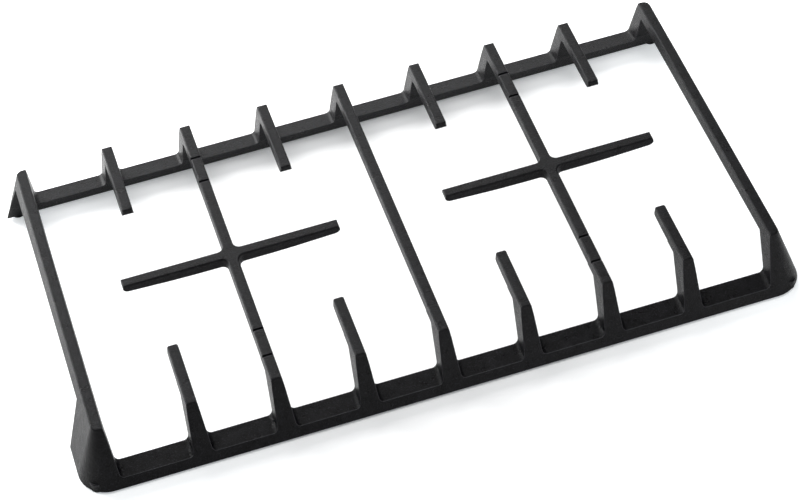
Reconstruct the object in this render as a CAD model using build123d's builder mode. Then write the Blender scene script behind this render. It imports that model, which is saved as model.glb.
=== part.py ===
"""Pan support for a two-burner hob: one iron casting.

Frame: X runs along the length, Y from the front (-Y) to the rear, Z up.
The origin is on the hob plate, under the middle of the support. Millimetres.
"""
import os
from math import radians, tan

from build123d import *

os.makedirs("parts", exist_ok=True)

# Heights
height = 47.0  # hob plate to the top faces
pad_height = 1.8  # the pads hold the skirt this far off the hob plate
bar_depth = 7.4
end_bar_depth = 9.4
arm_depth = 6.4

# Bars, fingers and cross arms, seen from above
bar_width = 7.0  # across the top, before its edges are rounded
bar_pitch = 55.0
end_pitch = 60.0  # between an end bar and its neighbour
top_run = 232.0  # a full bar's top, front to rear
burner_line = -5.8  # the burners' centres lie a little in front of the middle
finger_clearance = 60.9  # from that line to the fingers' tips
arm_reach = 73.3  # from the middle of a burner's bar to the tips of its arms
side_draft = 5.7  # degrees, the bars widen downwards on each side
crossing_fillet = 4.7  # at the top, like the next one
tip_corner_radius = 1.3
top_edge_radius = 1.0
under_edge_radius = 0.9

# Tips of the fingers and arms, seen from the side
tip_round = 4.2
tip_rise = 1.2  # the underside comes up by this much before that round
tip_taper_run = 32.0

# Skirt
skirt_lean = 18.5  # degrees from upright, on all four sides
top_corner_radius = 4.5
rail_thickness = 12.6  # measured level, through the leaning rail
rail_height = 9.8  # at its inner edge
rail_top_fall = 10.0  # degrees, down towards the outside
post_foot_width = 12.2  # across a post's face, at the rail's top
front_post_spread = 0.53  # a front post's inner edge moves in by this for each millimetre up
rear_post_spread = 0.24
front_head_fillet = 5.0  # between a post's inner edge and the bar's underside
rear_head_fillet = 1.5
post_root_fillet = 3.5  # between a post's sides and the rail's top
skirt_edge_radius = 1.0

# Gussets on the short sides, behind the front legs
gusset_thickness = 8.0
gusset_foot = 28.4  # behind the front ends of the top faces
gusset_head = 35.8
gusset_fillet = 7.0

# Pan marks: grooves across the two burner bars
mark_radii = (68.0, 90.4)
mark_width = 2.0
mark_depth = 0.9

# Foot pads
pad_diameter = 9.0
pad_inset_x = 10.0
pad_inset_y = 8.3

# Worked out from the sizes above
skirt_height = height - pad_height
lean_slope = tan(radians(skirt_lean))
draft_slope = tan(radians(side_draft))
half_run = top_run / 2
end_place = 3 * bar_pitch + end_pitch
bar_places = [-end_place] + [step * bar_pitch for step in range(-3, 4)] + [end_place]
full_places = bar_places[2:-2:2]
finger_places = bar_places[1::2]
burner_places = (bar_places[2], bar_places[-3])
foot_length = 2 * end_place + bar_width + 2 * lean_slope * skirt_height
foot_run = top_run + 2 * lean_slope * skirt_height
foot_corner_radius = top_corner_radius + lean_slope * skirt_height
rail_top = pad_height + rail_height
bar_under = height - bar_depth
end_under = height - end_bar_depth


def outset(z):
    """How far the skirt's face stands out from the top outline at a height."""
    return lean_slope * (height - z)


def half_width(z):
    """Half of a bar's width at a height."""
    return bar_width / 2 + draft_slope * (height - z)


def bar_strip(x, y_from, y_to):
    """A bar or finger on the grid's lower outline."""
    with Locations((x, (y_from + y_to) / 2)):
        Rectangle(2 * half_width(bar_under), y_to - y_from)


def tip_relief(run, depth):
    """Side outline of what comes off under a tip: the tip is at x = 0, the bar runs to -x, the top is y = 0."""
    underside = [(-run, -bar_depth)]
    if run > tip_taper_run:
        underside.append((-tip_taper_run, -depth))
    underside.append((-tip_round, tip_rise - depth))
    round_end = (0, tip_round + tip_rise - depth)
    below = -2 * bar_depth
    with BuildSketch() as relief:
        with BuildLine():
            Polyline(underside)
            RadiusArc(underside[-1], round_end, -tip_round)
            Polyline(round_end, (tip_round, round_end[1]), (tip_round, below), (-run, below), underside[0])
        make_face()
    return relief.sketch


# Envelope: the drafted block that the casting fills, up to its top faces
with BuildPart() as envelope:
    with BuildSketch(Plane.XY.offset(pad_height)):
        RectangleRounded(foot_length, foot_run, foot_corner_radius)
    extrude(amount=skirt_height, taper=skirt_lean)

# Grid: the inner full bars with their cross arms, and the fingers
draft_reach = draft_slope * bar_depth
rear_tip = burner_line + finger_clearance
front_tip = burner_line - finger_clearance
arm_free_run = arm_reach - half_width(bar_under) - crossing_fillet
finger_relief = tip_relief(tip_taper_run, bar_depth)
arm_relief = tip_relief(arm_free_run, arm_depth)
with BuildPart() as grid:
    with BuildSketch(Plane.XY.offset(bar_under)) as lower_outline:
        for x in full_places:
            bar_strip(x, -foot_run / 2, foot_run / 2)
        for x in finger_places:
            bar_strip(x, rear_tip - draft_reach, foot_run / 2)
            bar_strip(x, -foot_run / 2, front_tip + draft_reach)
        for x in burner_places:
            with Locations((x, burner_line)):
                Rectangle(2 * (arm_reach + draft_reach), 2 * half_width(bar_under))
        crossings = []
        tips = []
        for vertex in lower_outline.vertices():
            by_arm = abs(abs(vertex.Y - burner_line) - half_width(bar_under)) < 0.01
            by_bar = min(abs(abs(vertex.X - x) - half_width(bar_under)) for x in burner_places) < 0.01
            if by_arm and by_bar:
                crossings.append(vertex)
            elif abs(vertex.Y) < half_run:
                tips.append(vertex)
        fillet(crossings, crossing_fillet - draft_reach)
        fillet(tips, tip_corner_radius + draft_reach)
    extrude(amount=bar_depth, taper=side_draft)
    fillet(grid.faces().group_by(Axis.Z)[0].edges(), under_edge_radius)
    for x in finger_places:
        for tip, away in ((rear_tip, -1), (front_tip, 1)):
            side_view = Plane(origin=(x, tip + away * draft_reach, height), x_dir=(0, away, 0), z_dir=(away, 0, 0))
            with BuildSketch(side_view):
                add(finger_relief)
            extrude(amount=bar_width, both=True, mode=Mode.SUBTRACT)
    for x in burner_places:
        for away in (-1, 1):
            tip = x + away * (arm_reach + draft_reach)
            side_view = Plane(origin=(tip, burner_line, height), x_dir=(away, 0, 0), z_dir=(0, -away, 0))
            with BuildSketch(side_view):
                add(arm_relief)
            extrude(amount=bar_width, both=True, mode=Mode.SUBTRACT)

# End bars: deeper, upright on the inside and leaning with the skirt outside
with BuildPart() as end_bars:
    for side in (-1, 1):
        inner_top = side * (end_place - half_width(height))
        inner_under = side * (end_place - half_width(end_under))
        outer = side * foot_length / 2
        with BuildSketch(Plane.XZ):
            Polygon((inner_top, height), (inner_under, end_under), (outer, end_under), (outer, height), align=None)
        extrude(amount=foot_run / 2, both=True)
    inner_rims = [
        edge
        for edge in end_bars.faces().group_by(Axis.Z)[0].edges().filter_by(Axis.Y)
        if abs(edge.center().X) < end_place
    ]
    fillet(inner_rims, under_edge_radius)


def post_outline(place):
    """Front outline of a post, widening from the bar's sides to its foot inside the rail."""
    inside_bar = height - bar_depth / 2
    post_slope = (post_foot_width / 2 - half_width(bar_under)) / (bar_under - rail_top)
    right = [
        (place + half_width(inside_bar), inside_bar),
        (place + half_width(bar_under), bar_under),
        (place + post_foot_width / 2 + post_slope * rail_height, pad_height),
    ]
    left = [(2 * place - x, z) for x, z in reversed(right)]
    if place == -end_place:
        left = [(-foot_length / 2, pad_height), (-foot_length / 2, inside_bar)]
    if place == end_place:
        right = [(foot_length / 2, inside_bar), (foot_length / 2, pad_height)]
    Polygon(*right, *left, align=None)


def wall(side, spread, head_fillet):
    """Front (-1) or rear (+1) wall: the posts under the bars' ends, and the rail that joins them."""
    rail_foot = side * (half_run + outset(pad_height) - rail_thickness)
    rail_crest = side * (half_run + outset(rail_top) - rail_thickness)
    rail_outer = rail_crest + side * rail_thickness
    rail_outer_top = rail_top - tan(radians(rail_top_fall)) * rail_thickness
    post_turn = rail_top + 1.3 * post_root_fillet
    post_inner = side * (half_run + outset(post_turn) - rail_thickness)
    post_head = post_inner - side * spread * (bar_under - post_turn)
    under_bar = post_head - 2 * side * head_fillet
    inside_bar = height - bar_depth / 2
    outer = side * foot_run / 2
    with BuildPart() as posts_and_rail:
        with BuildSketch(Plane.XZ):
            for place in bar_places:
                post_outline(place)
        extrude(amount=-side * foot_run / 2)
        with BuildSketch(Plane.YZ.offset(-foot_length / 2)) as side_view:
            Polygon(
                (rail_foot, pad_height),
                (post_inner, post_turn),
                (post_head, bar_under),
                (under_bar, bar_under),
                (under_bar, inside_bar),
                (outer, inside_bar),
                (outer, pad_height),
                align=None,
            )
            fillet(side_view.vertices().sort_by_distance((-foot_length / 2, post_head, bar_under))[0], head_fillet)
        extrude(amount=foot_length, mode=Mode.INTERSECT)
        with BuildSketch(Plane.YZ.offset(-foot_length / 2)):
            Polygon(
                (rail_foot, pad_height),
                (rail_crest, rail_top),
                (rail_outer, rail_outer_top),
                (outer, rail_outer_top),
                (outer, pad_height),
                align=None,
            )
        extrude(amount=foot_length)
        add(envelope.part, mode=Mode.INTERSECT)
        roots = [
            edge
            for edge in posts_and_rail.edges()
            if rail_outer_top < edge.center().Z < rail_top
            and edge.bounding_box().size.X < 0.1 * rail_thickness < edge.bounding_box().size.Y
        ]
        fillet(roots, post_root_fillet)
    return posts_and_rail.part


def gussets():
    """Leaning plates on the short sides that stiffen the front legs and run up under the end bars."""
    front = -half_run
    inside_bar = height - end_bar_depth / 2
    head = front + gusset_head
    foot_inner = foot_length / 2 - gusset_thickness
    head_inner = end_place + bar_width / 2 + outset(inside_bar) - gusset_thickness
    with BuildPart() as plates:
        for side in (-1, 1):
            with BuildSketch(Plane.XZ.offset(foot_run / 2)):
                Polygon(
                    (side * foot_inner, pad_height),
                    (side * head_inner, inside_bar),
                    (side * foot_length / 2, inside_bar),
                    (side * foot_length / 2, pad_height),
                    align=None,
                )
            extrude(amount=-foot_run / 2)
        with BuildSketch(Plane.YZ.offset(-foot_length / 2)) as side_view:
            Polygon(
                (-foot_run / 2, pad_height),
                (front + gusset_foot, pad_height),
                (head, end_under),
                (head + 2 * gusset_fillet, end_under),
                (head + 2 * gusset_fillet, inside_bar),
                (-foot_run / 2, inside_bar),
                align=None,
            )
            fillet(side_view.vertices().sort_by_distance((-foot_length / 2, head, end_under))[0], gusset_fillet)
        extrude(amount=foot_length, mode=Mode.INTERSECT)
    return plates.part


# The casting: everything inside the envelope, then its edges, grooves and pads
mark_places = [(x, burner_line + side * radius) for x in burner_places for side in (-1, 1) for radius in mark_radii]
pad_x = foot_length / 2 - pad_inset_x
pad_y = foot_run / 2 - pad_inset_y
with BuildPart() as pan_support:
    add(grid.part)
    add(end_bars.part)
    add(gussets())
    add(envelope.part, mode=Mode.INTERSECT)
    add(wall(-1, front_post_spread, front_head_fillet))
    add(wall(1, rear_post_spread, rear_head_fillet))
    fillet(pan_support.faces().group_by(Axis.Z)[-1].edges(), top_edge_radius)
    for x, y in mark_places:
        with BuildSketch(Plane.YZ.offset(x - bar_width)):
            with Locations((y, height)):
                SlotCenterToCenter(2 * mark_depth, mark_width, rotation=90)
        extrude(amount=2 * bar_width, mode=Mode.SUBTRACT)
    with BuildSketch(Plane.XY):
        with Locations((pad_x, pad_y), (-pad_x, pad_y), (pad_x, -pad_y), (-pad_x, -pad_y)):
            Circle(pad_diameter / 2)
    extrude(amount=pad_height + rail_height / 2)

pan_support.part.label = "pan_support"
export_step(pan_support.part, "parts/pan_support.step")
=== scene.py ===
# %% [markdown]
# A hob pan support: one iron casting that holds pans over two gas burners.
# The casting's shape comes ready made from the frame, in metres, with the hob plate at z = 0.
# This lesson gives it its finish, a photographer's table, the lamps and the camera.
# The shape is kept exactly as it comes, so only the surface is made here.

# %% Load the casting
from math import cos, radians, sin

import bpy
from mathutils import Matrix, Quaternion, Vector


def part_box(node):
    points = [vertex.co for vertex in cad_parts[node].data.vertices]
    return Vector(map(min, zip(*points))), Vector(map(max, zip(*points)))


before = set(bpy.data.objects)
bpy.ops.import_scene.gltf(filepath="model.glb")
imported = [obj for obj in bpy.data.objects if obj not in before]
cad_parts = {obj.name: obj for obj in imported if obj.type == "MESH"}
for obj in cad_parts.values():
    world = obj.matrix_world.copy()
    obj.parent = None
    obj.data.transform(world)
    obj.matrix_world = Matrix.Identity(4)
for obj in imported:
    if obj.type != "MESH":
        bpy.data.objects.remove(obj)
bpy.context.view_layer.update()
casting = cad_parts["pan_support"]
foot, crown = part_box("pan_support")
print("casting", [round(v * 1000, 1) for v in crown - foot], "mm")

# %% [markdown]
# Most edges of the real casting are rounded, so its surface should shade smoothly over the roundings
# and stay flat on the faces. Shading by angle does that: it smooths only where neighbouring facets
# turn by a little. Weighting the normals by face size would need a modifier, for a difference
# that doesn't show on faces as plain as these.

# %% Shade the roundings smoothly
smooth_up_to = radians(30)
bpy.ops.object.select_all(action="DESELECT")
casting.select_set(True)
bpy.context.view_layer.objects.active = casting
bpy.ops.object.shade_smooth_by_angle(angle=smooth_up_to)
print("facets", len(casting.data.polygons))

# %% [markdown]
# A material is a tree of nodes. By hand, each node is added, its numbers are typed in and its inputs
# are joined to other nodes. These helpers do the same steps, so that the cells below show
# only what each node is for.


# %% Node helpers
def feed(tree, socket, value):
    """Joins another node's output to an input, or writes a number or colour into it."""
    if isinstance(value, bpy.types.NodeSocket):
        tree.links.new(value, socket)
    else:
        socket.default_value = value


def set_inputs(tree, node, **values):
    """Feeds a node's inputs by name, with underscores for spaces."""
    for label, value in values.items():
        feed(tree, node.inputs[label.replace("_", " ")], value)
    return node


def add_node(tree, kind, **values):
    """Adds a node and feeds its inputs."""
    return set_inputs(tree, tree.nodes.new("ShaderNode" + kind), **values)


def add_math(tree, operation, *terms, kind="Math"):
    """Adds a calculation with its terms in order, and returns its result."""
    node = add_node(tree, kind)
    node.operation = operation
    for socket, term in zip(node.inputs, terms):
        feed(tree, socket, term)
    return node.outputs["Value"]


# %% [markdown]
# Sand casting leaves a fine grain that shows through the enamel as small bumps and pits.
# It could be painted on an image, but an image needs a flattened surface and repeats itself.
# A noise pattern in the object's own space has the same scale everywhere and no seams.
# The fine noise also picks out the spots for painted glints: lighter colour that stands in for the
# light catching the tips of the grain.
# The grain is a group with its sizes as inputs, so that another iron part can use it with its own.

# %% Sockets of the grain group
grain = bpy.data.node_groups.new("cast_grain", "ShaderNodeTree")
for label, size in (("Grain Size", 0.0009), ("Pit Size", 0.006)):  # metres
    socket = grain.interface.new_socket(label, in_out="INPUT", socket_type="NodeSocketFloat")
    socket.default_value = size
for label in ("Height", "Mottle", "Specks"):
    grain.interface.new_socket(label, in_out="OUTPUT", socket_type="NodeSocketFloat")
grain_in = grain.nodes.new("NodeGroupInput")
grain_out = grain.nodes.new("NodeGroupOutput")
print("group", grain.name, "with", len(grain.interface.items_tree), "sockets")

# %% Noises of the grain group
space = add_node(grain, "TexCoord").outputs["Object"]
fine_scale = add_math(grain, "DIVIDE", 1.0, grain_in.outputs["Grain Size"])
fine = add_node(grain, "TexNoise", Vector=space, Scale=fine_scale, Detail=3.0, Roughness=0.6)
coarse_scale = add_math(grain, "DIVIDE", 1.0, grain_in.outputs["Pit Size"])
coarse = add_node(grain, "TexNoise", Vector=space, Scale=coarse_scale, Detail=2.0, Roughness=0.5)

coarse_share = 0.5
bumps = add_math(grain, "MULTIPLY_ADD", coarse.outputs["Fac"], coarse_share, fine.outputs["Fac"])
# Where the fine noise is high, a painted glint goes: lighter colour standing in for light caught by
# the grain.
glint_from, glint_to = 0.56, 0.68  # values of the fine noise
glint_mask = add_node(
    grain, "MapRange", Value=fine.outputs["Fac"], From_Min=glint_from, From_Max=glint_to
)
set_inputs(
    grain, grain_out, Height=bumps, Mottle=coarse.outputs["Fac"], Specks=glint_mask.outputs["Result"]
)
print("group", grain.name, "with", len(grain.nodes), "nodes")

# %% [markdown]
# The finish is a matt black enamel. It reflects a lamp as a broad soft sheen, not as a sharp image.
# One flat black would look like plastic, so the coarse noise moves the tone and the roughness
# a little from place to place. Painted glints, lighter specks that stand in for caught light, are
# laid over it.
# The index of refraction is set lower than glassy enamel's 1.5, because the photograph's iron
# reflects little.


# %% Tones of the enamel
def lay_tone(tree, mask, tone, under):
    """Lays a tone over a colour where a mask says so, and returns the result."""
    mix = add_node(tree, "Mix")
    mix.data_type = "RGBA"
    return set_inputs(tree, mix, Factor=mask, A=under, B=tone).outputs["Result"]


enamel = bpy.data.materials.new("matt_black_enamel")
enamel.use_nodes = True
coat = enamel.node_tree
enamel_shader = set_inputs(coat, coat.nodes["Principled BSDF"], IOR=1.17)
surface_grain = add_node(coat, "Group")
surface_grain.node_tree = grain

dark_tone = (0.0016, 0.0016, 0.0019, 1.0)
pale_tone = (0.0045, 0.0045, 0.0052, 1.0)
# Painted highlight: the glints' lighter colour stands in for light caught by the tips of the grain.
painted_glint_tone = (0.013, 0.013, 0.016, 1.0)
mottled = add_node(coat, "ValToRGB", Fac=surface_grain.outputs["Mottle"])
stops = ((0.35, dark_tone), (0.65, pale_tone))  # values of the coarse noise
for stop, (noise_value, stop_tone) in zip(mottled.color_ramp.elements, stops):
    stop.position = noise_value
    stop.color = stop_tone
# Lays the painted glints over the mottled tone.
with_painted_glints = lay_tone(coat, surface_grain.outputs["Specks"], painted_glint_tone, mottled.outputs["Color"])
print("tones", dark_tone[:3], "to", pale_tone[:3])

# %% Sheen of the enamel
noise_from, noise_to = 0.3, 0.7
glossiest, mattest = 0.26, 0.36
roughness = add_node(
    coat, "MapRange", Value=surface_grain.outputs["Mottle"],
    From_Min=noise_from, From_Max=noise_to, To_Min=glossiest, To_Max=mattest,
)
set_inputs(coat, enamel_shader, Roughness=roughness.outputs["Result"])
print("roughness", glossiest, "to", mattest)

# %% [markdown]
# Enamel gathers over an edge and rounds it. A bevel modifier would change the casting's mesh,
# so a bevel node bends only the shading there, and the grain's bumps lie on top of that.
# Where it bends the shading much, a painted highlight makes the tone lighter, standing in for the
# light that a rounded edge catches. The bend is the angle between the bevel node's normal and the
# surface's own.

# %% Edges, bumps and painted edge highlights of the enamel
edge_radius = 0.0007  # metres
bump_height = 0.0004  # metres
soft_edge = add_node(coat, "Bevel", Radius=edge_radius)
soft_edge.samples = 6
bump = add_node(
    coat, "Bump", Strength=1.0, Distance=bump_height,
    Normal=soft_edge.outputs["Normal"], Height=surface_grain.outputs["Height"],
)
set_inputs(coat, enamel_shader, Normal=bump.outputs["Normal"])

own_normal = add_node(coat, "NewGeometry").outputs["Normal"]
bend = add_math(coat, "DOT_PRODUCT", soft_edge.outputs["Normal"], own_normal, kind="VectorMath")
least_bend, most_bend = 0.985, 0.94  # cosines of the angle
edge_highlight_mask = add_node(coat, "MapRange", Value=bend, From_Min=least_bend, From_Max=most_bend)
# Painted highlight: lighter colour on the edges stands in for the light that the rounded edges
# catch.
painted_edge_highlight = (0.05, 0.05, 0.055, 1.0)
with_edge_highlight = lay_tone(coat, edge_highlight_mask.outputs["Result"], painted_edge_highlight, with_painted_glints)
set_inputs(coat, enamel_shader, Base_Color=with_edge_highlight)

for spot in casting.material_slots:
    spot.material = enamel
print("enamel on", casting.name, "in", len(casting.material_slots), "slot")

# %% [markdown]
# The photograph's background is pure white, with a soft bluish shadow close to the casting.
# A floor bright enough to turn white by lamps alone would also flood the iron with light from below.
# So the paper glows a little on top of the light that falls on it, for the camera and for
# reflections only. Further out, where the lamps reach less far, its glow for the camera rises
# until it is white there too.

# %% The table
table_span = 8.0
bpy.ops.object.select_all(action="DESELECT")
bpy.ops.mesh.primitive_plane_add(size=table_span, location=(0, 0, 0))
table = bpy.context.active_object
table.name = "table"

paper = bpy.data.materials.new("white_paper")
paper.use_nodes = True
sheet = paper.node_tree
paper_white = (0.8, 0.8, 0.8, 1.0)
cool_white = (0.92, 0.97, 1.0, 1.0)
paper_shader = set_inputs(
    sheet, sheet.nodes["Principled BSDF"],
    Roughness=0.9, Base_Color=paper_white, Emission_Color=cool_white,
)
table.data.materials.append(paper)
print("table", table_span, "m across")

# %% The table's glow
near_glow, far_glow = 0.18, 1.0
glow_from, glow_to = 0.15, 0.5  # metres from the casting's middle
point = add_node(sheet, "TexCoord").outputs["Object"]
distance = add_math(sheet, "LENGTH", point, kind="VectorMath")
camera_glow = add_node(
    sheet, "MapRange", Value=distance,
    From_Min=glow_from, From_Max=glow_to, To_Min=near_glow, To_Max=far_glow,
).outputs["Result"]
path = add_node(sheet, "LightPath")
for_camera = add_math(sheet, "MULTIPLY", path.outputs["Is Camera Ray"], camera_glow)
glow = add_math(sheet, "MULTIPLY_ADD", path.outputs["Is Glossy Ray"], near_glow, for_camera)
set_inputs(sheet, paper_shader, Emission_Strength=glow)
print("glow", near_glow, "near the casting and", far_glow, "far from it")

# %% [markdown]
# The iron is black, so nearly all that shows on it are reflections of lamps, and each has its task.
# The rear softbox lies where the level top faces reflect it, and so draws the grid of bars.
# The bank at the rear left draws the bars' left sides, which are the brightest. The overhead softbox
# lights the table evenly, and a low lamp at the front right lifts the leaning front faces.
# Small hard lamps would draw points and sharp shadows, which the photograph doesn't have.


# %% The lamps
def soft_lamp(name, place, aim, width, height, power):
    """A rectangular lamp at a place, facing a point."""
    light = bpy.data.lights.new(name, "AREA")
    light.shape = "RECTANGLE"
    light.size, light.size_y, light.energy = width, height, power
    lamp = bpy.data.objects.new(name, light)
    lamp.location = place
    lamp.rotation_euler = (Vector(aim) - Vector(place)).to_track_quat("-Z", "Y").to_euler()
    bpy.context.scene.collection.objects.link(lamp)
    print(name, power, "W")


middle = (0, 0, 0.02)
soft_lamp("rear_softbox", (-0.1, 0.76, 0.53), middle, width=1.4, height=0.55, power=15.5)
soft_lamp("overhead_softbox", (-0.1, -0.1, 1.5), middle, width=2.0, height=1.0, power=18)
soft_lamp("left_rear_bank", (-0.95, 0.9, 0.36), (0, 0, 0.03), width=0.6, height=0.6, power=32)
soft_lamp("right_front_fill", (0.6, -1.2, 0.15), (0.1, -0.1, 0.02), width=0.4, height=0.3, power=7)

# %% [markdown]
# Past the table's edge the camera sees the world. A white world would light the iron from all sides
# and wash it out, so the world is white for the camera only, and a dim light for everything else.

# %% The room
room_light, backdrop_white = 0.08, 1.0
world = bpy.data.worlds.new("studio")
world.use_nodes = True
room = world.node_tree
seen = add_node(room, "LightPath").outputs["Is Camera Ray"]
strength = add_node(room, "MapRange", Value=seen, To_Min=room_light, To_Max=backdrop_white)
set_inputs(
    room, room.nodes["Background"], Color=(1.0, 1.0, 1.0, 1.0), Strength=strength.outputs["Result"]
)
bpy.context.scene.world = world
print("room light", room_light)

# %% [markdown]
# The camera looks down on the casting from the front left, from about a metre and a half.
# Its angles, distance and lens were found by matching the casting's corners to the photograph.
# A shorter lens from nearer by would spread the front bars more than they are spread there.

# %% The camera
view_azimuth = radians(13.52)
view_elevation = radians(49.17)
view_roll = radians(-5.51)
view_distance = 1.5757
view_target = Vector((-0.0058, -0.04337, crown.z))
forward = Vector(
    (
        sin(view_azimuth) * cos(view_elevation),
        cos(view_azimuth) * cos(view_elevation),
        -sin(view_elevation),
    )
)
camera_data = bpy.data.cameras.new("camera")
camera_data.lens = 109.35  # millimetres
camera_data.clip_end = 20.0  # metres, past the table's far edge
camera = bpy.data.objects.new("camera", camera_data)
camera.location = view_target - view_distance * forward
camera.rotation_mode = "QUATERNION"
camera.rotation_quaternion = forward.to_track_quat("-Z", "Y") @ Quaternion((0, 0, 1), view_roll)
bpy.context.scene.collection.objects.link(camera)
bpy.context.scene.camera = camera
bpy.context.scene.view_settings.view_transform = "Standard"
print("camera at", [round(v, 4) for v in camera.location])
